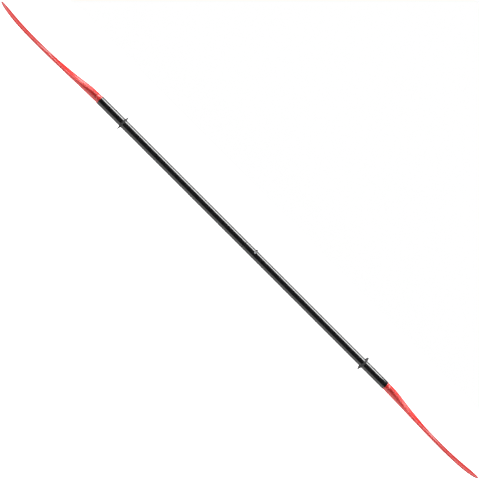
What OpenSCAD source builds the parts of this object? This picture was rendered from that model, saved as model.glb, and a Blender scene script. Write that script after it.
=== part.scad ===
// Two-piece double-bladed paddle with a push-button ferrule.
// X runs along the shaft, Z points out of the power faces, and the origin
// is on the shaft axis at the joint between the two halves.

/* [Overall] */
// Length from blade tip to blade tip
paddle_len = 2200; // [2000:10:2500]
// Length of one blade outside the shaft
blade_len = 446; // [400:1:480]

/* [Shaft] */
// Outer diameter of the shaft tubes
shaft_d = 30; // [28:0.5:32]
// Wall thickness of the shaft tubes
shaft_wall = 1.8; // [1.5:0.1:2.2]
// Thickness of the rubber ring between the two tubes
seal_t = 1.5; // [1:0.1:2.5]
// Length of each foam plug in the tubes
plug_len = 40; // [30:1:90]

/* [Ferrule] */
// Length of the sleeve that is bonded in the left tube
sleeve_in = 80; // [60:1:120]
// Length of the sleeve that slides into the right tube
sleeve_out = 110; // [90:1:130]
// Wall thickness of the sleeve
sleeve_wall = 2; // [1.5:0.1:2.5]
// Radial clearance of the sliding fits
slide_gap = 0.05; // [0.02:0.01:0.1]
// Angle between two feather holes
feather_step = 60; // [45:5:75]

/* [Snap button] */
// Distance of the button from the joint
button_x = 44; // [35:1:50]
// Turn of the button away from the power face
button_turn = 0; // [0:5:60]
// Diameter of the button
button_d = 8; // [7:0.1:9]
// Height of the button above the tube
button_out = 4; // [3:0.1:6]
// Thickness of the spring strip
strip_t = 0.8; // [0.5:0.1:1]
// Width of the spring strip
strip_w = 8; // [6:0.5:9]

/* [Drip rings] */
// Outer diameter of the flange
drip_d = 52; // [45:1:60]
// Distance of each ring from the joint
drip_x = 551; // [500:1:575]
// Length of the hub on the shaft
drip_hub_len = 8; // [6:0.5:14]
// Radial thickness of the hub
drip_hub_t = 2.2; // [2:0.1:4]

/* [Blade] */
// Widest reach of the blade on its long edge
far_w = 84; // [76:1:90]
// Widest reach of the blade on its short edge
near_w = 79; // [70:1:84]
// Radius of the round neck
neck_r = 14.2; // [13.6:0.1:14.8]
// Thickness of the plate at its edge
rim_t = 4.2; // [3.4:0.1:4.8]
// Distance from the joint to the rivet that holds the blade
rivet_x = 592; // [588:1:610]
// Length of the tang inside the shaft
tang_len = 78; // [70:1:100]

/* [Hidden] */
$fn = 96;
eps = 0.05;

shaft_r = shaft_d / 2;
bore_r = shaft_r - shaft_wall;
neck_x = paddle_len / 2 - blade_len;
sleeve_r = bore_r - slide_gap;
sleeve_bore_r = sleeve_r - sleeve_wall;
seal_r = shaft_r - 0.2;
tube_start = seal_t / 2 + eps;

button_r = button_d / 2;
button_top = shaft_r + button_out;
button_base = 9.3;
button_rim_t = 1.1;
dome_h = 2.2;
hole_gap = 0.25;

tang_r = bore_r - 0.1;
tang_bore_r = 9.5;
rivet_r = 2;
rivet_head_r = 3.4;
rivet_head_h = 1.2;
pin_r = 0.95;

// Height of the plate's edge above the shaft axis, as [distance from the neck, height].
edge_line = [[0, 11], [20, 9], [40, 6.6], [65, 1.8], [90, -2.6], [120, -5.4], [150, -6.4], [200, -6.8],
    [290, -9.2], [350, -8.4], [400, -4.8], [446, 1.4]];
// Height of the power face along the middle of the blade.
face_line = [[0, 14.2], [25, 13.9], [50, 12.4], [80, 8.4], [113, 4.2], [146, 1], [178, -1.8], [210, -5.4],
    [250, -10.4], [290, -14], [350, -12.8], [400, -7.8], [446, 1.2]];
// Height of the back along the middle of the blade, with its keel.
back_line = [[0, -14.2], [40, -14.8], [110, -16.6], [190, -18.8], [250, -19.6], [300, -19.4], [350, -17.4],
    [400, -12.4], [446, -2]];
flare_len = 262;     // the blade reaches its full width this far from the neck
tip_start = 276;     // from here the edges round in to the tip
tip_shift = 27;      // the tip leans this far to the long edge
collar_len = 6;      // the neck stays round over this length
morph_len = 14;      // and turns into plate and keel over this one
keel_w = [14, 30];   // half the keel's width at the neck and on the blade
keel_spread = [60, 150];   // it widens from the first distance, over the second
keel_fade = 1.5;     // a keel lower than this melts into the plate
neck_stations = 12;
body_stations = 16;
tip_stations = 14;
rim_angles = [0, 30, 60, 90];
plate_shares = [0.3, 0.6, 0.85, 1];
keel_angles = [16, 35, 54, 72, 90];
half_count = len(rim_angles) + len(plate_shares) + len(keel_angles);

// A smooth curve through points [x, y], with the slope at each point taken from its neighbours.
function slope(p, i) =
    let (a = max(i - 1, 0), b = min(i + 1, len(p) - 1))
    (p[b][1] - p[a][1]) / (p[b][0] - p[a][0]);
function segment(p, x, i = 0) = i >= len(p) - 2 || x < p[i + 1][0] ? i : segment(p, x, i + 1);
function curve(p, x) =
    let (i = segment(p, x), d = p[i + 1][0] - p[i][0], s = (x - p[i][0]) / d)
    (2 * s ^ 3 - 3 * s ^ 2 + 1) * p[i][1] + (s ^ 3 - 2 * s ^ 2 + s) * d * slope(p, i)
    + (3 * s ^ 2 - 2 * s ^ 3) * p[i + 1][1] + (s ^ 3 - s ^ 2) * d * slope(p, i + 1);
function ease(s) = let (c = min(max(s, 0), 1)) c * c * (3 - 2 * c);

// Stations close up at the neck and at the tip, where the shape changes fastest.
function stations() = concat(
    [for (i = [0 : neck_stations - 1]) 70 * (i / neck_stations) ^ 1.3],
    [for (i = [0 : body_stations - 1]) 70 + (tip_start + 40 - 70) * i / body_stations],
    [for (i = [0 : tip_stations]) tip_start + 40 + (blade_len - tip_start - 40) * sin(88 * i / tip_stations)]);

// Reach of one edge from the blade's middle line, and the middle line's own shift.
function flare(t) = ease((t - collar_len) / flare_len) ^ 0.5;
function tip_round(t) = t < tip_start ? 1 : (1 - ((t - tip_start) / (blade_len - tip_start)) ^ 2.5) ^ 0.5;
function reach(t, w) = neck_r + (w * tip_round(t) - neck_r) * flare(t);
function middle_y(t) = tip_shift * max(0, (t - 150) / (blade_len - 150)) ^ 2.2;
function plate_t(t) = rim_t - 0.8 * ease((t - 300) / 146);

// Half a section, from the edge in to the middle: [distance from the middle, top, bottom].
// A spine runs out of the neck along the power face and fades into its hollow.
// The keel leaves the neck as half an ellipse and flattens to a broad ridge.
function plate_half(t, w) =
    let (h = min(plate_t(t), 0.9 * w) / 2, edge = curve(edge_line, t) - h, inner = max(w - h, 0.1),
        face = curve(face_line, t) - h, back = curve(back_line, t) + h,
        spread = ease((t - keel_spread[0]) / keel_spread[1]),
        keel = min(keel_w[0] + (keel_w[1] - keel_w[0]) * spread, 0.95 * inner),
        bump = max(0, face - edge), dish = max(0, edge - face),
        points = concat(
            [for (a = rim_angles) [inner + h * cos(a), h * sin(a)]],
            [for (share = plate_shares) [inner + (keel - inner) * share, h]],
            [for (a = keel_angles) [keel * cos(a), h]]))
    [for (point = points)
        let (y = point[0], plate = edge - dish * (1 - (y / w) ^ 2), drop = max(0, plate - back),
            hump = max(0, 1 - (y / keel) ^ 2))
        [y, plate + bump * hump ^ 2 + point[1],
            plate - drop * hump ^ (0.5 + spread) * ease(drop / keel_fade) - point[1]]];
function neck_half() =
    [for (i = [0 : half_count - 1])
        let (a = 90 * i / (half_count - 1))
        [neck_r * cos(a), neck_r * sin(a), -neck_r * sin(a)]];
function half_section(t, w) =
    let (m = ease((t - collar_len) / morph_len), p = plate_half(t, w), n = neck_half())
    [for (i = [0 : half_count - 1]) n[i] * (1 - m) + p[i] * m];
function section(t) =
    let (far = half_section(t, reach(t, far_w)), near = half_section(t, reach(t, near_w)), y = middle_y(t),
        last = half_count - 1)
    concat(
        [for (i = [0 : last]) [t, y + far[i][0], far[i][1]]],
        [for (i = [last - 1 : -1 : 0]) [t, y - near[i][0], near[i][1]]],
        [for (i = [1 : last]) [t, y - near[i][0], near[i][2]]],
        [for (i = [last - 1 : -1 : 1]) [t, y + far[i][0], far[i][2]]]);

module blade_form() {
    rings = [for (t = stations()) section(t)];
    n = len(rings[0]);
    last = len(rings) - 1;
    polyhedron(
        points = [for (r = rings) each r],
        faces = concat(
            [[for (j = [0 : n - 1]) j]],
            [for (i = [0 : last - 1], j = [0 : n - 1]) [i * n + j, (i + 1) * n + j, i * n + (j + 1) % n]],
            [for (i = [0 : last - 1], j = [0 : n - 1])
                [i * n + (j + 1) % n, (i + 1) * n + j, (i + 1) * n + (j + 1) % n]],
            [[for (j = [n - 1 : -1 : 0]) last * n + j]]));
}

// A cylinder along X between two stations.
module rod(x0, x1, r) {
    translate([x0, 0, 0]) rotate([0, 90, 0]) cylinder(r = r, h = x1 - x0);
}

// A cone along X between two stations.
module taper(x0, x1, r0, r1) {
    translate([x0, 0, 0]) rotate([0, 90, 0]) cylinder(r1 = r0, r2 = r1, h = x1 - x0);
}

// Places its children at a station, standing out of the shaft along a turned radius.
module on_radius(x, turn) {
    translate([x, 0, 0]) rotate([turn, 0, 0]) children();
}

// A round cap of a sphere, standing on the plane z = base.
module dome(r, h, base) {
    ball_r = (r * r + h * h) / (2 * h);
    intersection() {
        translate([0, 0, base + h - ball_r]) sphere(r = ball_r);
        translate([0, 0, base]) cylinder(r = r, h = h + 1);
    }
}

module tube(x0, x1) {
    difference() {
        rod(x0, x1, shaft_r);
        rod(x0 - 1, x1 + 1, bore_r);
        children();
    }
}

module rivet_hole() {
    on_radius(rivet_x, 0) cylinder(r = rivet_r + eps, h = shaft_r + 2);
}

module shaft_left() {
    color("#1a1a1c") mirror([1, 0, 0]) tube(tube_start, neck_x) rivet_hole();
}

module shaft_right() {
    color("#1a1a1c") tube(tube_start, neck_x) {
        rivet_hole();
        for (k = [-1 : 1])
            on_radius(button_x, button_turn + k * feather_step)
                cylinder(r = button_r + hole_gap, h = shaft_r + 2);
    }
}

module ferrule_sleeve() {
    nose = 3;
    color("#8a8c8f") difference() {
        union() {
            rod(-sleeve_in, sleeve_out - nose, sleeve_r);
            taper(sleeve_out - nose, sleeve_out, sleeve_r, sleeve_r - 0.9);
        }
        rod(-sleeve_in - 1, sleeve_out + 1, sleeve_bore_r);
        on_radius(button_x, button_turn) cylinder(r = button_r + hole_gap - eps, h = shaft_r);
    }
}

module joint_seal() {
    bevel = 0.3;
    color("#101010") rotate([0, 90, 0]) rotate_extrude()
        polygon([[bore_r, -seal_t / 2], [seal_r - bevel, -seal_t / 2], [seal_r, -seal_t / 2 + bevel],
            [seal_r, seal_t / 2 - bevel], [seal_r - bevel, seal_t / 2], [bore_r, seal_t / 2]]);
}

module snap_button() {
    shoulder = button_top - dome_h;
    rim_r = button_r + 1.2;
    color("#8c8c8a") on_radius(button_x, button_turn) {
        translate([0, 0, button_base - button_rim_t]) cylinder(r = rim_r, h = button_rim_t);
        translate([0, 0, button_base]) cylinder(r = button_r, h = shoulder - button_base);
        dome(button_r, dome_h, shoulder);
    }
}

// A strip bent into a V: one leg lies on the sleeve, the other ends in the pad under the button.
module spring_clip() {
    half = strip_t / 2;
    low = half - 10.2;
    high = button_base - button_rim_t - half - eps;
    bend_x = -48;
    bend_r = 4;
    pad_x = [-8, 9];
    bend_top = low + 2 * bend_r;
    rise = atan((high - bend_top) / (pad_x[0] - bend_x));
    bend = [for (a = [270 : -15 : 90]) a + rise * (270 - a) / 180];
    function leg(side) = concat(
        [[pad_x[1], low - side]],
        [for (a = bend) [bend_x + (bend_r + side) * cos(a), low + bend_r + (bend_r + side) * sin(a)]],
        [[pad_x[0], high + side], [pad_x[1], high + side]]);
    inner = leg(-half);
    color("#b9bcc0") on_radius(button_x, button_turn)
        rotate([90, 0, 0]) translate([0, 0, -strip_w / 2]) linear_extrude(height = strip_w)
            polygon(concat(leg(half), [for (i = [len(inner) - 1 : -1 : 0]) inner[i]]));
}

module blade() {
    difference() {
        union() {
            translate([neck_x, 0, 0]) blade_form();
            rod(neck_x - tang_len, neck_x + 6, tang_r);
        }
        rod(neck_x - tang_len - 1, neck_x - 4, tang_bore_r);
        rivet_hole();
    }
}

module blade_left() {
    color("#e23a2e") mirror([1, 0, 0]) blade();
}

module blade_right() {
    color("#e23a2e") blade();
}

module rivet() {
    shank_end = 9;
    bulb_h = 1.6;
    on_radius(rivet_x, 0) difference() {
        union() {
            dome(rivet_head_r, rivet_head_h, shaft_r);
            translate([0, 0, shank_end]) cylinder(r = rivet_r, h = shaft_r - shank_end);
            translate([0, 0, shank_end - bulb_h]) cylinder(r = 2.9, h = bulb_h);
        }
        cylinder(r = pin_r + eps, h = shaft_r + 3);
    }
}

module rivet_left() {
    color("#c9cbcd") mirror([1, 0, 0]) rivet();
}

module rivet_right() {
    color("#c9cbcd") rivet();
}

module rivet_pin() {
    head_top = 7.35;
    on_radius(rivet_x, 0) {
        translate([0, 0, head_top - 1.9]) cylinder(r = 1.8, h = 1.9);
        translate([0, 0, head_top]) cylinder(r = pin_r, h = shaft_r + 0.8 - head_top);
    }
}

module rivet_pin_left() {
    color("#8d9094") mirror([1, 0, 0]) rivet_pin();
}

module rivet_pin_right() {
    color("#8d9094") rivet_pin();
}

// A hub with a thin flat flange.
module drip_ring() {
    r0 = shaft_r + slide_gap;
    r1 = r0 + drip_hub_t;
    r2 = drip_d / 2;
    h = drip_hub_len / 2;
    root = 1.7;
    rim = 1;
    bevel = 0.5;
    half = [[r2, rim - bevel], [r2 - bevel, rim], [r1, root], [r1, h - bevel], [r1 - bevel, h], [r0, h]];
    color("#1d1d1f") translate([drip_x, 0, 0]) rotate([0, 90, 0]) rotate_extrude()
        polygon(concat(half, [for (i = [len(half) - 1 : -1 : 0]) [half[i][0], -half[i][1]]]));
}

module drip_ring_left() {
    mirror([1, 0, 0]) drip_ring();
}

module drip_ring_right() {
    drip_ring();
}

module foam_plug(x0) {
    bevel = 1.5;
    color("#e8e8e4") {
        taper(x0, x0 + bevel, sleeve_r - bevel, sleeve_r);
        rod(x0 + bevel, x0 + plug_len - bevel, sleeve_r);
        taper(x0 + plug_len - bevel, x0 + plug_len, sleeve_r, sleeve_r - bevel);
    }
}

module foam_plug_left() {
    foam_plug(-sleeve_in - 30 - plug_len);
}

module foam_plug_right() {
    foam_plug(sleeve_out + 30);
}

shaft_left();
shaft_right();
ferrule_sleeve();
joint_seal();
snap_button();
spring_clip();
blade_left();
blade_right();
rivet_left();
rivet_right();
rivet_pin_left();
rivet_pin_right();
drip_ring_left();
drip_ring_right();
foam_plug_left();
foam_plug_right();
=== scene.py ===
import math

import bmesh
import bpy
from mathutils import Matrix, Vector


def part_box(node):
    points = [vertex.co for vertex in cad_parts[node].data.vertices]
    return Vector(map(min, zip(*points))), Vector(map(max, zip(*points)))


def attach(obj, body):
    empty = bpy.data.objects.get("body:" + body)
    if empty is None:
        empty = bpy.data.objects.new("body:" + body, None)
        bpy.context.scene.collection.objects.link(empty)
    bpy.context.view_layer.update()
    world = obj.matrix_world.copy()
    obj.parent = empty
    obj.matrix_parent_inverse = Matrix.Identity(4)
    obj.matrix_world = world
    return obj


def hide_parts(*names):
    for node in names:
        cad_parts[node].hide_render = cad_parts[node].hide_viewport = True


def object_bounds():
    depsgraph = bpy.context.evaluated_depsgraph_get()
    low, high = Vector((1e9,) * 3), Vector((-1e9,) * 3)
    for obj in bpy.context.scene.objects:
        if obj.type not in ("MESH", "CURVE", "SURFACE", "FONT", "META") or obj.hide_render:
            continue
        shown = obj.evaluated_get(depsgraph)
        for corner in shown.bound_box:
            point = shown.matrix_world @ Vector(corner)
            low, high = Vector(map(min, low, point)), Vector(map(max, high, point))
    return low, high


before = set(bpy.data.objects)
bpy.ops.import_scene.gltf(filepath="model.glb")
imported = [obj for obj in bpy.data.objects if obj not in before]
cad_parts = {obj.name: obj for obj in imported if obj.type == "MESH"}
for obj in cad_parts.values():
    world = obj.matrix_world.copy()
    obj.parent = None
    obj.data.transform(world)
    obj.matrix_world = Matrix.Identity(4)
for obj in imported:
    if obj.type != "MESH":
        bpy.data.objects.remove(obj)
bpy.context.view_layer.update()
mm = 0.001
print("frame loaded")


def middleOf(node):
    low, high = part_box(node)
    return (low + high) / 2


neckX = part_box("shaft_right")[1].x          # where the shaft ends and the blade starts
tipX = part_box("blade_right")[1].x
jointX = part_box("shaft_right")[0].x
ringX = middleOf("drip_ring_right").x
rivetX = middleOf("rivet_right").x
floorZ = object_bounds()[0].z


def linearColour(hexText):
    # sRGB hex to the linear values that shaders use
    parts = [int(hexText[i:i + 2], 16) / 255 for i in (1, 3, 5)]
    return [c / 12.92 if c <= 0.04045 else ((c + 0.055) / 1.055) ** 2.4 for c in parts] + [1]


def addNode(tree, kind, inputs=None, stops=(), **settings):
    # an input is a plain value, or the output socket of another node to link to;
    # stops are (position, hex) along a colour ramp
    node = tree.nodes.new(kind)
    for i, (position, tone) in enumerate(stops):
        marks = node.color_ramp.elements
        mark = marks[i] if i < len(marks) else marks.new(position)
        mark.position, mark.color = position, linearColour(tone)
    for name, value in settings.items():
        setattr(node, name, value)
    for name, value in (inputs or {}).items():
        if isinstance(value, bpy.types.NodeSocket):
            tree.links.new(value, node.inputs[name])
        else:
            node.inputs[name].default_value = value
    return node


def newMaterial(name, shader):
    # a principled material; shader holds the values that are the same all over
    material = bpy.data.materials.new(name)
    material.use_nodes = True
    tree = material.node_tree
    body = tree.nodes["Principled BSDF"]
    for socket, value in shader.items():
        body.inputs[socket].default_value = value
    place = addNode(tree, "ShaderNodeTexCoord")
    return material, tree, body, place.outputs["Object"]


def filletOutline(corners, steps=5):
    # corners are (along, out, fillet) in mm; every fillet becomes an arc
    points = []
    for i, (along, out, fillet) in enumerate(corners):
        here = Vector((along, out))
        if fillet <= 0:
            points.append(here)
            continue
        before = Vector(corners[i - 1][:2]) - here
        after = Vector(corners[(i + 1) % len(corners)][:2]) - here
        half = before.angle(after) / 2
        run = min(fillet / math.tan(half), before.length * 0.49, after.length * 0.49)
        radius = run * math.tan(half)
        centre = here + (before.normalized() + after.normalized()).normalized() * radius / math.sin(half)
        first = here + before.normalized() * run - centre
        last = here + after.normalized() * run - centre
        start = math.atan2(first.y, first.x)
        turn = (math.atan2(last.y, last.x) - start + math.pi) % math.tau - math.pi
        for k in range(steps + 1):
            angle = start + turn * k / steps
            points.append(centre + radius * Vector((math.cos(angle), math.sin(angle))))
    return points


def meshPiece(name, verts, faces, sharpAngle=38):
    # a closed smooth-shaded mesh, with creases where it turns sharply
    data = bpy.data.meshes.new(name)
    data.from_pydata([tuple(v) for v in verts], [], faces)
    piece = bpy.data.objects.new(name, data)
    bpy.context.scene.collection.objects.link(piece)
    tidyShading(piece, sharpAngle)
    return piece


def loft(name, sections, sharpAngle=38):
    # a skin over closed sections with the same number of points, capped at both ends
    count = len(sections[0])
    verts = [point for section in sections for point in section]
    faces = [tuple(range(count))]
    for i in range(len(sections) - 1):
        for k in range(count):
            after = (k + 1) % count
            faces.append((i * count + k, (i + 1) * count + k, (i + 1) * count + after, i * count + after))
    last = (len(sections) - 1) * count
    faces.append(tuple(last + k for k in reversed(range(count))))
    return meshPiece(name, verts, faces, sharpAngle)


def tidyShading(piece, sharpAngle=38):
    work = bmesh.new()
    work.from_mesh(piece.data)
    bmesh.ops.remove_doubles(work, verts=work.verts, dist=1e-7)
    bmesh.ops.recalc_face_normals(work, faces=work.faces)
    for face in work.faces:
        face.smooth = True
    for edge in work.edges:
        edge.smooth = edge.calc_face_angle(0) < math.radians(sharpAngle)
    work.to_mesh(piece.data)
    work.free()


def lathe(name, outline, place=None, segments=96, closed=True):
    # turns an outline of (along, out) in mm about local X; place puts local X where it belongs
    place = place or Matrix.Identity(4)
    verts, faces = [], []
    for i in range(segments):
        angle = math.tau * i / segments
        for point in outline:
            x, r = point[0] * mm, max(point[1], 0) * mm
            verts.append(place @ Vector((x, r * math.cos(angle), r * math.sin(angle))))
    count = len(outline)
    for i in range(segments):
        nextRing = (i + 1) % segments
        for k in range(count if closed else count - 1):
            nextPoint = (k + 1) % count
            faces.append((i * count + k, i * count + nextPoint,
                          nextRing * count + nextPoint, nextRing * count + k))
    return meshPiece(name, verts, faces)


def standing(x, turnDegrees, side=1):
    # a place where local X stands out of the shaft, turned away from the power face
    turn = math.radians(turnDegrees)
    out = Vector((0, -math.sin(turn), math.cos(turn)))
    along = Vector((side, 0, 0))
    across = out.cross(along)
    place = Matrix((out, along, across)).transposed().to_4x4()
    place.translation = Vector((x, 0, 0))
    return place


def cutAway(piece, cutters, rimBevel=0.25):
    # bores the cutters out of the piece and breaks the new rims
    for cutter in cutters:
        cut = piece.modifiers.new("bore", "BOOLEAN")
        cut.operation, cut.solver, cut.object = "DIFFERENCE", "EXACT", cutter
    rim = piece.modifiers.new("rim", "BEVEL")
    rim.width, rim.segments, rim.limit_method = rimBevel * mm, 2, "ANGLE"
    rim.angle_limit = math.radians(50)
    seen = piece.evaluated_get(bpy.context.evaluated_depsgraph_get())
    data = bpy.data.meshes.new_from_object(seen)
    piece.modifiers.clear()
    piece.data = data
    for cutter in cutters:
        bpy.data.objects.remove(cutter)
    tidyShading(piece)


def dress(piece, material, body, slot, *nodes):
    # material, body it moves with, finish slot (not used) and the CAD nodes it stands for
    piece.data.materials.clear()
    piece.data.materials.append(material)
    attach(piece, body)
    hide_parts(*nodes)
    print("made", piece.name)


def bladeNylon():
    # glass-filled nylon, injection moulded in a polished tool: clear red that glows where it is thin,
    # with short fibres drawn out along the flow and a faint orange peel in the gloss
    material, tree, body, place = newMaterial("bladeNylonRedGloss", {
        "IOR": 1.55, "Coat Weight": 0.6, "Coat Roughness": 0.32, "Subsurface Weight": 0.15, "Subsurface Scale": 1.0,
        "Subsurface Radius": (0.005, 0.0008, 0.0006)})
    # fibres are about 0.01 mm thick in the real one; drawn 0.6 mm wide and 9 mm long so that they show
    stretch = addNode(tree, "ShaderNodeMapping", {"Vector": place, "Scale": (110, 1600, 1600)})
    fibres = addNode(tree, "ShaderNodeTexNoise",
                     {"Vector": stretch.outputs[0], "Scale": 1, "Detail": 3, "Roughness": 0.6})
    # flow marks from the gate at the neck, about 110 mm long and 24 mm wide
    flow = addNode(tree, "ShaderNodeMapping", {"Vector": place, "Scale": (9, 42, 42)})
    clouds = addNode(tree, "ShaderNodeTexNoise",
                     {"Vector": flow.outputs[0], "Scale": 1, "Detail": 4, "Distortion": 0.6})
    both = addNode(tree, "ShaderNodeMath", {0: fibres.outputs["Fac"], 1: clouds.outputs["Fac"]},
                   operation="ADD")
    half = addNode(tree, "ShaderNodeMath", {0: both.outputs[0], 1: 0.5}, operation="MULTIPLY")
    tone = addNode(tree, "ShaderNodeValToRGB", {"Fac": half.outputs[0]},
                   stops=[(0.3, "#d12a29"), (0.5, "#d9302c"), (0.7, "#e13a33")])
    tree.links.new(tone.outputs["Color"], body.inputs["Base Color"])
    peel = addNode(tree, "ShaderNodeTexNoise", {"Vector": place, "Scale": 260, "Detail": 2})   # 4 mm waves
    scuff = addNode(tree, "ShaderNodeMapRange", {"Value": clouds.outputs["Fac"], "From Min": 0.35,
                                                 "From Max": 0.7, "To Min": 0.28, "To Max": 0.4})
    tree.links.new(scuff.outputs[0], body.inputs["Roughness"])
    low = addNode(tree, "ShaderNodeBump", {"Height": peel.outputs["Fac"], "Strength": 0.08, "Distance": 0.0004})
    bump = addNode(tree, "ShaderNodeBump", {"Height": fibres.outputs["Fac"], "Strength": 0.12,
                                            "Distance": 0.0001, "Normal": low.outputs[0]})
    tree.links.new(bump.outputs[0], body.inputs["Normal"])
    return material


def shaftFibreglass():
    # black fibreglass tube, wound and lacquered: a hard bright line of light on near black,
    # with the faint spiral of the wrap under the lacquer
    material, tree, body, place = newMaterial("shaftFibreglassBlackLacquer", {
        "Roughness": 0.2, "IOR": 1.5, "Coat Weight": 0.8, "Coat Roughness": 0.04})
    # the wrapping tape leaves a ridge every 28 mm; bands repeat every 0.314 / scale metres
    turned = addNode(tree, "ShaderNodeMapping", {"Vector": place, "Rotation": (0, 0, math.radians(24))})
    wrap = addNode(tree, "ShaderNodeTexWave", {"Vector": turned.outputs[0], "Scale": 11.4, "Distortion": 0.4,
                                               "Detail": 1.5, "Detail Scale": 3}, bands_direction="X")
    speck = addNode(tree, "ShaderNodeTexNoise", {"Vector": place, "Scale": 900, "Detail": 3})   # 1 mm weave
    mix = addNode(tree, "ShaderNodeMath", {0: wrap.outputs["Fac"], 1: speck.outputs["Fac"]}, operation="MULTIPLY")
    tone = addNode(tree, "ShaderNodeValToRGB", {"Fac": mix.outputs[0]},
                   stops=[(0.1, "#131314"), (0.6, "#1b1b1c")])
    tree.links.new(tone.outputs["Color"], body.inputs["Base Color"])
    rub = addNode(tree, "ShaderNodeTexNoise", {"Vector": place, "Scale": 35, "Detail": 5})
    rough = addNode(tree, "ShaderNodeMapRange", {"Value": rub.outputs["Fac"], "From Min": 0.3,
                                                 "From Max": 0.75, "To Min": 0.16, "To Max": 0.26})
    tree.links.new(rough.outputs[0], body.inputs["Roughness"])
    bump = addNode(tree, "ShaderNodeBump", {"Height": wrap.outputs["Fac"], "Strength": 0.1, "Distance": 0.00015})
    tree.links.new(bump.outputs[0], body.inputs["Normal"])
    return material


def mouldedSatin(name, tones):
    # moulded rubber or nylon: a soft broad sheen and a fine spark-eroded grain
    material, tree, body, place = newMaterial(name, {"IOR": 1.5, "Specular IOR Level": 0.4})
    grain = addNode(tree, "ShaderNodeTexNoise", {"Vector": place, "Scale": 1400, "Detail": 3})   # 0.7 mm grain
    dust = addNode(tree, "ShaderNodeTexNoise", {"Vector": place, "Scale": 120, "Detail": 4})
    tone = addNode(tree, "ShaderNodeValToRGB", {"Fac": dust.outputs["Fac"]},
                   stops=[(0.35, tones[0]), (0.7, tones[1])])
    tree.links.new(tone.outputs["Color"], body.inputs["Base Color"])
    rough = addNode(tree, "ShaderNodeMapRange", {"Value": dust.outputs["Fac"], "From Min": 0.3,
                                                 "From Max": 0.7, "To Min": 0.38, "To Max": 0.55})
    tree.links.new(rough.outputs[0], body.inputs["Roughness"])
    bump = addNode(tree, "ShaderNodeBump", {"Height": grain.outputs["Fac"], "Strength": 0.25, "Distance": 0.0001})
    tree.links.new(bump.outputs[0], body.inputs["Normal"])
    return material


def wornMetal(name, tones, roughness, lineScale):
    # drawn or turned metal: fine lines one way, so the highlight is brushed out;
    # lineScale is lines to the metre each way, so 200 along and 3000 across is 5 mm by 0.3 mm
    material, tree, body, place = newMaterial(name, {"Metallic": 1.0})
    lines = addNode(tree, "ShaderNodeMapping", {"Vector": place, "Scale": lineScale})
    brushed = addNode(tree, "ShaderNodeTexNoise", {"Vector": lines.outputs[0], "Scale": 1, "Detail": 4})
    smudge = addNode(tree, "ShaderNodeTexNoise", {"Vector": place, "Scale": 180, "Detail": 3})
    tone = addNode(tree, "ShaderNodeValToRGB", {"Fac": smudge.outputs["Fac"]},
                   stops=[(0.3, tones[0]), (0.7, tones[1])])
    tree.links.new(tone.outputs["Color"], body.inputs["Base Color"])
    rough = addNode(tree, "ShaderNodeMapRange", {"Value": brushed.outputs["Fac"], "From Min": 0.3, "From Max": 0.7,
                                                 "To Min": roughness - 0.06, "To Max": roughness + 0.1})
    tree.links.new(rough.outputs[0], body.inputs["Roughness"])
    bump = addNode(tree, "ShaderNodeBump", {"Height": brushed.outputs["Fac"], "Strength": 0.15,
                                            "Distance": 0.00005})
    tree.links.new(bump.outputs[0], body.inputs["Normal"])
    return material


def sleeveLaminate():
    # ground fibreglass laminate: satin grey with the crossed weave of the cloth, 1.5 mm a thread
    material, tree, body, place = newMaterial("sleeveLaminateGround", {"IOR": 1.5})
    threads = {"Vector": place, "Scale": 210, "Distortion": 1.5}      # 0.314 / 210 metres is one thread
    warp = addNode(tree, "ShaderNodeTexWave", threads, bands_direction="X")
    weft = addNode(tree, "ShaderNodeTexWave", threads, bands_direction="Z")
    weave = addNode(tree, "ShaderNodeMath", {0: warp.outputs["Fac"], 1: weft.outputs["Fac"]}, operation="MAXIMUM")
    tone = addNode(tree, "ShaderNodeValToRGB", {"Fac": weave.outputs[0]},
                   stops=[(0.2, "#7a7c7f"), (0.9, "#8f9194")])
    tree.links.new(tone.outputs["Color"], body.inputs["Base Color"])
    rough = addNode(tree, "ShaderNodeMapRange", {"Value": weave.outputs[0], "To Min": 0.5, "To Max": 0.36})
    tree.links.new(rough.outputs[0], body.inputs["Roughness"])
    bump = addNode(tree, "ShaderNodeBump", {"Height": weave.outputs[0], "Strength": 0.2, "Distance": 0.0001})
    tree.links.new(bump.outputs[0], body.inputs["Normal"])
    return material


def plugFoam():
    # closed-cell polyethylene foam, knife cut: matte off-white with 1.5 mm cells, whose hollows are painted darker
    # as shade
    material, tree, body, place = newMaterial("plugFoamPolyethylene", {"Roughness": 0.9, "Subsurface Weight": 0.3,
                                                                      "Subsurface Radius": (0.003, 0.003, 0.002)})
    cells = addNode(tree, "ShaderNodeTexVoronoi", {"Vector": place, "Scale": 650}, feature="DISTANCE_TO_EDGE")
    # painted shade: the colour darkens from the light cell walls into the cell hollows, where the bump sinks
    tone = addNode(tree, "ShaderNodeValToRGB", {"Fac": cells.outputs["Distance"]},
                   stops=[(0.0, "#f2f1ea"), (0.25, "#d9d7cc")])
    tree.links.new(tone.outputs["Color"], body.inputs["Base Color"])
    bump = addNode(tree, "ShaderNodeBump", {"Height": cells.outputs["Distance"], "Strength": 0.6,
                                            "Distance": 0.0005}, invert=True)
    tree.links.new(bump.outputs[0], body.inputs["Normal"])
    return material


bladeRed = bladeNylon()
shaftBlack = shaftFibreglass()
ringBlack = mouldedSatin("ringRubberMoulded", ["#39393a", "#484849"])
sealBlack = mouldedSatin("sealRubberNitrile", ["#0d0d0d", "#161616"])
buttonGrey = mouldedSatin("buttonNylonGrey", ["#7f7f7d", "#929290"])
springSteel = wornMetal("springSteelRolled", ["#a0a1a4", "#bcbdbf"], 0.26, (200, 3000, 3000))
rivetAluminium = wornMetal("rivetAluminiumHeaded", ["#c9cacc", "#dedfe0"], 0.34, (1800, 1800, 400))
pinSteel = wornMetal("rivetPinSteelSnapped", ["#77787b", "#929396"], 0.4, (1500, 1500, 500))
sleeveGrey = sleeveLaminate()
foamWhite = plugFoam()
print("materials made")


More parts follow.
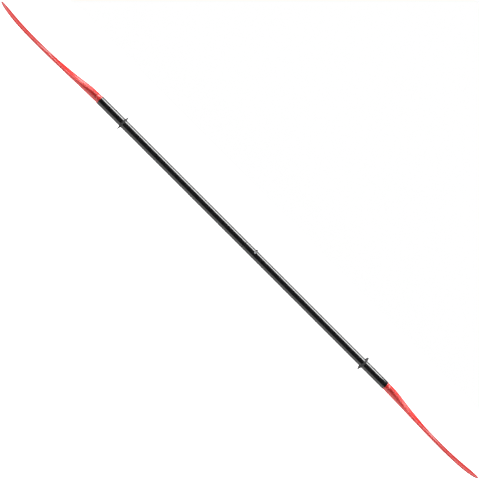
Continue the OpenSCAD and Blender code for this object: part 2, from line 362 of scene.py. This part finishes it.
shaft = {"outerR": 15.0, "wall": 1.8, "lip": 0.4, "segments": 144}     # mm
feather = {"buttonTurn": 0, "holeSteps": (-60, 0, 60), "holeR": 4.25, "holeMargin": 9}      # degrees, mm
rivet = {
    "r": 2.0, "headR": 3.4, "headH": 1.2, "headRim": 0.12, "gap": 0.05, "margin": 6,
    "shankEnd": 9.0, "bulbR": 2.9, "bulbH": 1.6, "bulbFillet": 0.5,
    "mouthSlope": 0.25, "mouthOut": 0.12, "mouthUp": 0.02, "mouthDrop": 0.08,
}
buttonX = middleOf("snap_button").x


def boreTool(x, turnDegrees, radius):
    # a plain round cutter from the middle line to outside the shaft, removed again after the cut
    top = shaft["outerR"] + 5
    outline = [Vector((0, 0)), Vector((0, radius)), Vector((top, radius)), Vector((top, 0))]
    return lathe("cutter", outline, standing(x, turnDegrees), segments=48, closed=False)


def makeShaft(side, name, body):
    innerR = shaft["outerR"] - shaft["wall"]
    first, last = jointX / mm, neckX / mm
    corners = [(first, innerR, shaft["lip"]), (first, shaft["outerR"], shaft["lip"])]
    # extra rings beside the holes keep the faces there short
    stops = [buttonX / mm - feather["holeMargin"], buttonX / mm + feather["holeMargin"],
             rivetX / mm - rivet["margin"], rivetX / mm + rivet["margin"]]
    corners += [(x, shaft["outerR"], 0) for x in stops]
    corners += [(last, shaft["outerR"], shaft["lip"]), (last, innerR, shaft["lip"])]
    corners += [(x, innerR, 0) for x in reversed(stops)]
    tube = lathe(name, filletOutline(corners, 3), segments=shaft["segments"])
    cutters = [boreTool(rivetX, 0, rivet["r"] + rivet["gap"])]
    if side > 0:
        cutters += [boreTool(buttonX, feather["buttonTurn"] + step, feather["holeR"])
                    for step in feather["holeSteps"]]
    cutAway(tube, cutters)
    if side < 0:
        mirrorAcross(tube)
    dress(tube, shaftBlack, body, "shaft_black", name.replace("Tube", ""))


def mirrorAcross(piece):
    # the left half is the right half's mirror image
    piece.data.transform(Matrix.Scale(-1, 4, Vector((1, 0, 0))))
    piece.data.flip_normals()


makeShaft(-1, "shaft_leftTube", "left_half")
makeShaft(1, "shaft_rightTube", "right_half")


blade = {
    "length": (tipX - neckX) / mm,
    "farReach": 83.9, "nearReach": 78.85,      # mm from the middle line to the long and the short edge
    "rim": 4.2, "thinning": 0.8, "thinFrom": 300, "thinOver": 146,
    "tangR": 13.1, "tangBore": 9.5, "tangLength": 78, "tangChamfer": 1.2, "mouthChamfer": 0.5, "boreEnd": 4,
    "seatR": 13.2, "seatStart": 0.6, "collarChamfer": 0.3,
    "collar": 6, "collarR": 14.75, "collarW": 3.0, "collarFade": 4,
    "waist": 13.9, "neckR": 14.2, "neckFrom": 8, "neckOver": 12, "morph": 14,
    "flare": 262, "flarePower": 0.5, "tipStart": 276, "tipPower": 2.5,
    "tipShift": 27, "shiftFrom": 150, "shiftPower": 2.2,
    "keelNeck": 14, "keelTip": 30, "keelFade": 1.5, "keelFrom": 60, "keelOver": 150,
    # how many sections the neck, the middle and the tip get, and how many points the rim, the plate and the keel
    "neckEnd": 70, "tipBlend": 40, "neckCount": 34, "middleCount": 60, "tipCount": 45, "tipSweep": 88.6,
    "rimSteps": 6, "plateSteps": 14,
    # (distance from the neck, height) of the edge, the power face's middle and the back's middle
    "edge": [(0, 11), (20, 9), (40, 6.6), (65, 1.8), (90, -2.6), (120, -5.4), (150, -6.4), (200, -6.8),
             (290, -9.2), (350, -8.4), (400, -4.8), (446, 1.4)],
    "face": [(0, 14.2), (25, 13.9), (50, 12.4), (80, 8.4), (113, 4.2), (146, 1), (178, -1.8), (210, -5.4),
             (250, -10.4), (290, -14), (350, -12.8), (400, -7.8), (446, 1.2)],
    "back": [(0, -14.2), (40, -14.8), (110, -16.6), (190, -18.8), (250, -19.6), (300, -19.4), (350, -17.4),
             (400, -12.4), (446, -2)],
}


def smoothCurve(points, x):
    # runs through the points, with each slope taken from the neighbours
    def slope(i):
        a, b = max(i - 1, 0), min(i + 1, len(points) - 1)
        return (points[b][1] - points[a][1]) / (points[b][0] - points[a][0])
    i = 0
    while i < len(points) - 2 and x >= points[i + 1][0]:
        i += 1
    gap = points[i + 1][0] - points[i][0]
    s = (x - points[i][0]) / gap
    return ((2 * s ** 3 - 3 * s ** 2 + 1) * points[i][1] + (s ** 3 - 2 * s ** 2 + s) * gap * slope(i)
            + (3 * s ** 2 - 2 * s ** 3) * points[i + 1][1] + (s ** 3 - s ** 2) * gap * slope(i + 1))


def ease(s):
    s = min(max(s, 0), 1)
    return s * s * (3 - 2 * s)


def bladeStations():
    # close together at the neck and at the tip, where the form changes fastest
    b = blade
    head, tail = b["neckEnd"], b["tipStart"] + b["tipBlend"]
    neck = [head * (i / b["neckCount"]) ** 1.3 for i in range(b["neckCount"])]
    middle = [head + (tail - head) * i / b["middleCount"] for i in range(b["middleCount"])]
    # tipSweep stays short of 90 degrees, so the last section has some width
    tip = [tail + (b["length"] - tail) * math.sin(math.radians(b["tipSweep"] * i / (b["tipCount"] - 1)))
           for i in range(b["tipCount"])]
    return neck + middle + tip


def bladeHalf(t, reach):
    # from the edge in to the middle: (distance from the middle, top, bottom); a spine runs out along the face
    b = blade
    h = min(b["rim"] - b["thinning"] * ease((t - b["thinFrom"]) / b["thinOver"]), 0.9 * reach) / 2
    edge, face, back = (smoothCurve(b["edge"], t) - h, smoothCurve(b["face"], t) - h,
                        smoothCurve(b["back"], t) + h)
    inner = max(reach - h, 0.1)
    spread = ease((t - b["keelFrom"]) / b["keelOver"])      # the keel starts as a tube and flattens to a broad ridge
    keel = min(b["keelNeck"] + (b["keelTip"] - b["keelNeck"]) * spread, 0.95 * inner)
    bump, dish = max(0, face - edge), max(0, edge - face)
    quarter, rim, plate = math.pi / 2, b["rimSteps"], b["plateSteps"]
    steps = [(inner + h * math.cos(quarter * i / rim), h * math.sin(quarter * i / rim)) for i in range(rim + 1)]
    steps += [(inner + (keel - inner) * i / plate, h) for i in range(1, plate + 1)]
    steps += [(keel * math.cos(quarter * i / plate), h) for i in range(1, plate + 1)]
    rows = []
    for y, lift in steps:
        level = edge - dish * (1 - (y / reach) ** 2)
        drop = max(0, level - back)
        hump = max(0, 1 - (y / keel) ** 2)
        rows.append((y, level + bump * hump ** 2 + lift,
                     level - drop * hump ** (0.5 + spread) * ease(drop / b["keelFade"]) - lift))
    return rows


def neckHalf(radius, count):
    angles = [math.pi / 2 * i / (count - 1) for i in range(count)]
    return [(radius * math.cos(a), radius * math.sin(a), -radius * math.sin(a)) for a in angles]


def bladeSection(t):
    b = blade
    flare = ease((t - b["collar"]) / b["flare"]) ** b["flarePower"]
    fade = max(0, (t - b["tipStart"]) / (b["length"] - b["tipStart"]))
    rounding = math.sqrt(max(0, 1 - fade ** b["tipPower"]))
    # the tip leans towards the long edge
    shift = b["tipShift"] * max(0, (t - b["shiftFrom"]) / (b["length"] - b["shiftFrom"])) ** b["shiftPower"]
    morph = ease((t - b["collar"]) / b["morph"])
    # a small collar meets the tube, then the neck draws in behind it
    collarR = b["collarR"] + (b["waist"] - b["collarR"]) * ease((t - b["collarW"]) / b["collarFade"])
    neckR = collarR + (b["neckR"] - collarR) * ease((t - b["neckFrom"]) / b["neckOver"])
    halves = []
    for width in (b["farReach"], b["nearReach"]):
        reach = neckR + (width * rounding - neckR) * flare
        plate = bladeHalf(t, reach)
        tube = neckHalf(neckR, len(plate))
        halves.append([tuple(n * (1 - morph) + p * morph for n, p in zip(a, c)) for a, c in zip(tube, plate)])
    far, near = halves
    loop = [(shift + y, top) for y, top, low in far]
    loop += [(shift - y, top) for y, top, low in reversed(near[:-1])]
    loop += [(shift - y, low) for y, top, low in near[1:]]
    loop += [(shift + y, low) for y, top, low in reversed(far[1:-1])]
    return loop


def bladeMesh(name):
    b = blade
    sections = [(t, bladeSection(t)) for t in bladeStations()]
    start = sections[0][1]

    def circle(radius):
        return [tuple(c * radius / math.hypot(*point) for c in point) for point in start]
    # the tang runs back into the tube: bore end, bore mouth, chamfer, outside, then the collar's face
    back, mouth, chamfer, collarEdge = -b["tangLength"], b["mouthChamfer"], b["tangChamfer"], b["collarChamfer"]
    tang = [(-b["boreEnd"], 0.01), (-b["boreEnd"], b["tangBore"]), (back + mouth, b["tangBore"]),
            (back, b["tangBore"] + mouth), (back, b["tangR"] - chamfer), (back + chamfer, b["tangR"]),
            (-b["seatStart"], b["tangR"]), (0, b["seatR"]), (0, b["collarR"] - collarEdge)]
    rings = [(x, circle(radius)) for x, radius in tang]
    rings += [(collarEdge if t == 0 else t, loop) for t, loop in sections]
    return loft(name, [[(neckX + x * mm, y * mm, z * mm) for y, z in loop] for x, loop in rings], 48)


def makeBlade(side, name, body):
    piece = bladeMesh(name + "Moulding")
    cutAway(piece, [boreTool(rivetX, 0, rivet["r"] + rivet["gap"])], 0.15)
    if side < 0:
        mirrorAcross(piece)
    dress(piece, bladeRed, body, "blade_red", name)


makeBlade(-1, "blade_left", "left_half")
makeBlade(1, "blade_right", "right_half")


def domeOutline(radius, height, base, steps=8):
    # from the rim of a round cap up to its top
    ball = (radius ** 2 + height ** 2) / (2 * height)
    reach = math.asin(radius / ball)
    return [Vector((base + height - ball + ball * math.cos(reach * (1 - i / steps)),
                    ball * math.sin(reach * (1 - i / steps)))) for i in range(steps + 1)]


pin = {"r": 0.95, "ballR": 1.8, "ballLow": 5.45, "ballTop": 7.35, "ballFillet": 0.4, "neckFillet": 0.2,
       "top": 0.8, "topFillet": 0.12, "hollow": 0.15}


def makeRivet(side, label, body):
    r, outerR = rivet, shaft["outerR"]
    hole = pin["r"] + r["gap"]
    low, bulb = r["shankEnd"], r["bulbFillet"]
    outline = filletOutline([(low - r["bulbH"], hole, 0), (low - r["bulbH"], r["bulbR"], bulb),
                             (low, r["bulbR"], bulb), (low, r["r"], 0), (outerR, r["r"], 0),
                             (outerR, r["headR"], r["headRim"])], 3)[:-1]
    # the dome stops at a small mouth round the snapped pin
    cap = domeOutline(r["headR"], r["headH"], outerR)
    outline += [p for p in cap if p.y > hole + r["mouthSlope"]]
    rim = outline[-1]
    outline += [Vector((rim.x + r["mouthUp"], hole + r["mouthOut"])), Vector((rim.x - r["mouthDrop"], hole))]
    place = standing(side * rivetX, 0, side)
    shell = lathe("rivet_" + label + "Shell", outline, place, segments=48)
    dress(shell, rivetAluminium, body, "rivet_aluminium", "rivet_" + label)
    top = outerR + pin["top"]
    stem = filletOutline([(pin["ballLow"], 0, 0), (pin["ballLow"], pin["ballR"], pin["ballFillet"]),
                          (pin["ballTop"], pin["ballR"], pin["neckFillet"]), (pin["ballTop"], pin["r"], 0),
                          (top, pin["r"], pin["topFillet"]), (top - pin["hollow"], 0, 0)], 3)
    stub = lathe("rivet_pin_" + label + "Stub", stem, place, segments=32, closed=False)
    dress(stub, pinSteel, body, "rivet_steel", "rivet_pin_" + label)


makeRivet(-1, "left", "left_half")
makeRivet(1, "right", "right_half")


ring = {
    "hubLength": 8, "hubT": 2.2, "outerR": 26, "gap": 0.05,
    "root": 1.6, "rim": 0.95,      # half the flange's thickness at the hub and at its edge
    "rootFillet": 1.2, "rimFillet": 0.7, "hubFillet": 0.8, "boreFillet": 0.3,
}


def makeRing(side, label, body):
    boreR = shaft["outerR"] + ring["gap"]
    hubR, outerR, end = boreR + ring["hubT"], ring["outerR"], ring["hubLength"] / 2
    half = [(end, boreR, ring["boreFillet"]), (end, hubR, ring["hubFillet"]),
            (ring["root"], hubR, ring["rootFillet"]), (ring["rim"], outerR, ring["rimFillet"])]
    outline = filletOutline([(-x, r, fillet) for x, r, fillet in half] + half[::-1], 5)
    piece = lathe("drip_ring_" + label + "Rubber", [Vector((p.x + ringX / mm, p.y)) for p in outline],
                  segments=128)
    if side < 0:
        mirrorAcross(piece)
    dress(piece, ringBlack, body, "ring_rubber", "drip_ring_" + label)


makeRing(-1, "left", "left_ring")
makeRing(1, "right", "right_ring")


sleeve = {"r": 13.15, "boreR": 11.15, "inside": 80, "outside": 110, "nose": 3, "noseDrop": 0.9, "noseFillet": 0.8,
          "endFillet": 0.4, "holeR": 4.2}


def makeSleeve():
    s, soft = sleeve, sleeve["endFillet"]
    # extra rings beside the button's hole keep the faces there short
    before, after = buttonX / mm - feather["holeMargin"], buttonX / mm + feather["holeMargin"]
    outline = filletOutline([(-s["inside"], s["boreR"], soft), (-s["inside"], s["r"], soft),
                             (before, s["r"], 0), (after, s["r"], 0),
                             (s["outside"] - s["nose"], s["r"], s["noseFillet"]),
                             (s["outside"], s["r"] - s["noseDrop"], soft), (s["outside"], s["boreR"], soft),
                             (after, s["boreR"], 0), (before, s["boreR"], 0)], 3)
    piece = lathe("ferrule_sleeveTube", outline, segments=128)
    cutAway(piece, [boreTool(buttonX, feather["buttonTurn"], s["holeR"])], 0.2)
    dress(piece, sleeveGrey, "left_half", "ferrule_grey", "ferrule_sleeve")


seal = {"t": 1.5, "r": 14.8, "innerR": 13.2, "innerFillet": 0.1, "outerFillet": 0.45}


def makeSeal():
    half, inner, outer = seal["t"] / 2, seal["innerFillet"], seal["outerFillet"]
    outline = filletOutline([(-half, seal["innerR"], inner), (-half, seal["r"], outer),
                             (half, seal["r"], outer), (half, seal["innerR"], inner)], 4)
    dress(lathe("joint_sealRing", outline, segments=128), sealBlack, "seal", "seal_rubber", "joint_seal")


button = {"r": 4.0, "rimR": 5.2, "rimT": 1.1, "rimFillet": 0.3, "rootFillet": 0.2,
          "base": 9.3, "top": 19, "dome": 2.2}


def makeButton():
    b = button
    shoulder = b["top"] - b["dome"]
    low = b["base"] - b["rimT"]
    outline = filletOutline([(low, 0, 0), (low, b["rimR"], b["rimFillet"]), (b["base"], b["rimR"], b["rimFillet"]),
                             (b["base"], b["r"], b["rootFillet"]), (shoulder, b["r"], 0)], 3)
    outline += domeOutline(b["r"], b["dome"], shoulder, 12)
    piece = lathe("snap_buttonCap", outline, standing(buttonX, feather["buttonTurn"]), segments=72, closed=False)
    dress(piece, buttonGrey, "button", "button_grey", "snap_button")


spring = {"t": 0.8, "width": 8, "softEdge": 0.12, "bendX": -48, "bendR": 4, "bendSteps": 14,
          "padStart": -8, "padEnd": 9, "padGap": 0.05, "bottom": -10.2}


def makeSpring():
    # a strip folded to a V: a leg along the sleeve, the bend, and a leg that rises to a pad under the button
    s = spring
    half = s["t"] / 2
    low, high = s["bottom"] + half, button["base"] - button["rimT"] - half - s["padGap"]
    rise = math.degrees(math.atan((high - low - 2 * s["bendR"]) / (s["padStart"] - s["bendX"])))
    bend = [270 - i * (180 - rise) / s["bendSteps"] for i in range(s["bendSteps"] + 1)]
    # (along, out) of the strip's middle line, then the direction across its thickness
    middle = [(s["padEnd"], low, 0.0, 1.0)]
    for a in bend:
        c, n = math.cos(math.radians(a)), math.sin(math.radians(a))
        middle.append((s["bendX"] + s["bendR"] * c, low + s["bendR"] + s["bendR"] * n, -c, -n))
    lean = math.radians(rise)
    middle.append((s["padStart"], high, math.sin(lean / 2), -math.cos(lean / 2)))
    middle.append((s["padEnd"], high, 0.0, -1.0))
    place = standing(buttonX, feather["buttonTurn"])
    width, soft = s["width"] / 2, s["softEdge"]
    across = [(width - soft, half), (width, half - soft), (width, soft - half), (width - soft, -half),
              (soft - width, -half), (-width, soft - half), (-width, half - soft), (soft - width, half)]
    sections = [[place @ Vector(((z + nz * t) * mm, (x + nx * t) * mm, w * mm)) for w, t in across]
                for x, z, nx, nz in middle]
    dress(loft("spring_clipStrip", sections), springSteel, "left_half", "spring_steel", "spring_clip")


makeSleeve()
makeSeal()
makeButton()
makeSpring()


plug = {"r": 13.1, "chamfer": 1.5}


def makePlug(label, body):
    low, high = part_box("foam_plug_" + label)
    first, last = low.x / mm, high.x / mm
    outline = filletOutline([(first, 0, 0), (first, plug["r"], plug["chamfer"]), (last, plug["r"], plug["chamfer"]),
                             (last, 0, 0)], 4)
    piece = lathe("foam_plug_" + label + "Foam", outline, segments=96, closed=False)
    dress(piece, foamWhite, body, "plug_foam", "foam_plug_" + label)


makePlug("left", "left_half")
makePlug("right", "right_half")


studio = {
    "floorTone": "#f4f4f4", "floorGlow": 1.0, "floorSize": 60,
    "softbox": {"power": 90, "length": 2.6, "width": 1.05, "distance": 1.7, "angle": 78.5},
    # brightness, then where each zone starts and ends: the up or back part of a direction, from -1 to 1
    "tableGlow": 1.2, "tableBack": 0.2, "wallGlow": 1.35, "room": 0.04, "bounceBelow": 2.0, "bounceAbove": 0.1,
    "tableEdge": 0.966, "tableSoft": 0.1, "tableRise": (0.0, -0.2), "tableDepth": (0.05, 0.5),
    "wallTop": 0.14, "wallSoft": 0.05, "wallFoot": (-0.25, -0.1), "wallBack": (0.2, 0.5), "bounce": (-0.75, -0.45),
}
camera = {"distance": 3.3, "turn": 3.12, "lift": 3.1, "lens": 76.55, "aimX": -0.0214, "aimZ": 0.0003}


def makeFloor():
    # a plain white floor that only the camera sees
    size = studio["floorSize"] / 2
    floor = meshPiece("floor", [(-size, -size, floorZ), (size, -size, floorZ), (size, size, floorZ),
                                (-size, size, floorZ)], [(0, 1, 2, 3)])
    material = bpy.data.materials.new("floorAcrylicWhite")
    material.use_nodes = True
    body = material.node_tree.nodes["Principled BSDF"]
    body.inputs["Base Color"].default_value = linearColour(studio["floorTone"])
    body.inputs["Roughness"].default_value = 0.9
    body.inputs["Emission Color"].default_value = (1, 1, 1, 1)
    body.inputs["Emission Strength"].default_value = studio["floorGlow"]
    floor.data.materials.append(material)
    # the paddle doesn't see the floor, because the world lights it from below
    floor.visible_glossy = floor.visible_diffuse = floor.visible_transmission = False


def makeWorld():
    # gloss sees a bright table under the paddle, a low white wall behind it and a dark room;
    # matt colour sees a softer mean of these, and the camera sees plain white
    world = bpy.data.worlds.new("studio")
    bpy.context.scene.world = world
    world.use_nodes = True
    world.cycles.sampling_method = "NONE"      # the ray kinds below hold only for rays that bounce
    tree = world.node_tree
    sky = tree.nodes["Background"]
    sky.inputs["Color"].default_value = (1, 1, 1, 1)

    place = addNode(tree, "ShaderNodeTexCoord")
    toward = addNode(tree, "ShaderNodeSeparateXYZ", {"Vector": place.outputs["Generated"]})
    back, up = toward.outputs["Y"], toward.outputs["Z"]
    edge = addNode(tree, "ShaderNodeMath", {0: up, 1: -studio["tableEdge"], 2: back}, operation="MULTIPLY_ADD")
    wallTop, wallSoft = studio["wallTop"], studio["wallSoft"]
    # each zone eases from one level to another between two directions;
    # the table is dimmer towards the back, and the wall stands from just under the horizon to its top
    zones = {
        "onTable": (edge.outputs[0], -studio["tableSoft"], studio["tableSoft"], 0, 1),
        "under": (up, *studio["tableRise"], 0, 1),
        "glow": (back, *studio["tableDepth"], studio["tableGlow"], studio["tableBack"]),
        "belowTop": (up, wallTop + wallSoft, wallTop - wallSoft, 0, 1),
        "aboveFoot": (up, *studio["wallFoot"], 0, 1),
        "behind": (back, *studio["wallBack"], 0, studio["wallGlow"]),
        "matt": (up, *studio["bounce"], studio["bounceBelow"], studio["bounceAbove"]),
    }
    zone = {}
    for name, (value, start, end, first, last) in zones.items():
        eased = addNode(tree, "ShaderNodeMapRange", {"Value": value, "From Min": start, "From Max": end,
                                                     "To Min": first, "To Max": last},
                        interpolation_type="SMOOTHSTEP")
        zone[name] = eased.outputs[0]
    shape = addNode(tree, "ShaderNodeMath", {0: zone["onTable"], 1: zone["under"]}, operation="MULTIPLY")
    table = addNode(tree, "ShaderNodeMath", {0: shape.outputs[0], 1: zone["glow"]}, operation="MULTIPLY")
    band = addNode(tree, "ShaderNodeMath", {0: zone["belowTop"], 1: zone["aboveFoot"]}, operation="MULTIPLY")
    wall = addNode(tree, "ShaderNodeMath", {0: band.outputs[0], 1: zone["behind"]}, operation="MULTIPLY")
    both = addNode(tree, "ShaderNodeMath", {0: table.outputs[0], 1: wall.outputs[0]}, operation="MAXIMUM")
    gloss = addNode(tree, "ShaderNodeMath", {0: both.outputs[0], 1: studio["room"]}, operation="ADD")
    rays = addNode(tree, "ShaderNodeLightPath")
    shiny = addNode(tree, "ShaderNodeMath", {0: gloss.outputs[0], 1: rays.outputs["Is Glossy Ray"],
                                             2: rays.outputs["Is Camera Ray"]}, operation="MULTIPLY_ADD")
    seen = addNode(tree, "ShaderNodeMath", {0: zone["matt"], 1: rays.outputs["Is Diffuse Ray"],
                                            2: shiny.outputs[0]}, operation="MULTIPLY_ADD")
    tree.links.new(seen.outputs[0], sky.inputs["Strength"])


def addSoftbox():
    box = studio["softbox"]
    lamp = bpy.data.lights.new("softbox", "AREA")
    lamp.shape, lamp.size, lamp.size_y, lamp.energy = "RECTANGLE", box["length"], box["width"], box["power"]
    holder = bpy.data.objects.new("softbox", lamp)
    bpy.context.scene.collection.objects.link(holder)
    angle = math.radians(box["angle"])
    holder.location = (0, -box["distance"] * math.cos(angle), box["distance"] * math.sin(angle))
    holder.rotation_euler = (-math.radians(90 - box["angle"]), 0, 0)
    holder.visible_camera = False


def makeCamera():
    # the paddle lies on the view's falling diagonal, seen almost edge-on from a little above
    turn, lift = math.radians(camera["turn"]), math.radians(camera["lift"])
    forward = Vector((math.sin(turn) * math.cos(lift), math.cos(turn) * math.cos(lift), -math.sin(lift)))
    along = (Vector((1, 0, 0)) - forward * forward.x).normalized()
    above = along.cross(forward)
    right, up = (along + above).normalized(), (above - along).normalized()
    data = bpy.data.cameras.new("camera")
    data.lens, data.sensor_width = camera["lens"], 36
    data.clip_start, data.clip_end = 0.05, 200
    holder = bpy.data.objects.new("camera", data)
    bpy.context.scene.collection.objects.link(holder)
    place = Matrix((right, up, -forward)).transposed().to_4x4()
    place.translation = along * camera["aimX"] + above * camera["aimZ"] - forward * camera["distance"]
    holder.matrix_world = place
    bpy.context.scene.camera = holder


makeFloor()
makeWorld()
addSoftbox()
makeCamera()
bpy.context.scene.view_settings.view_transform = "Standard"
print("studio made")
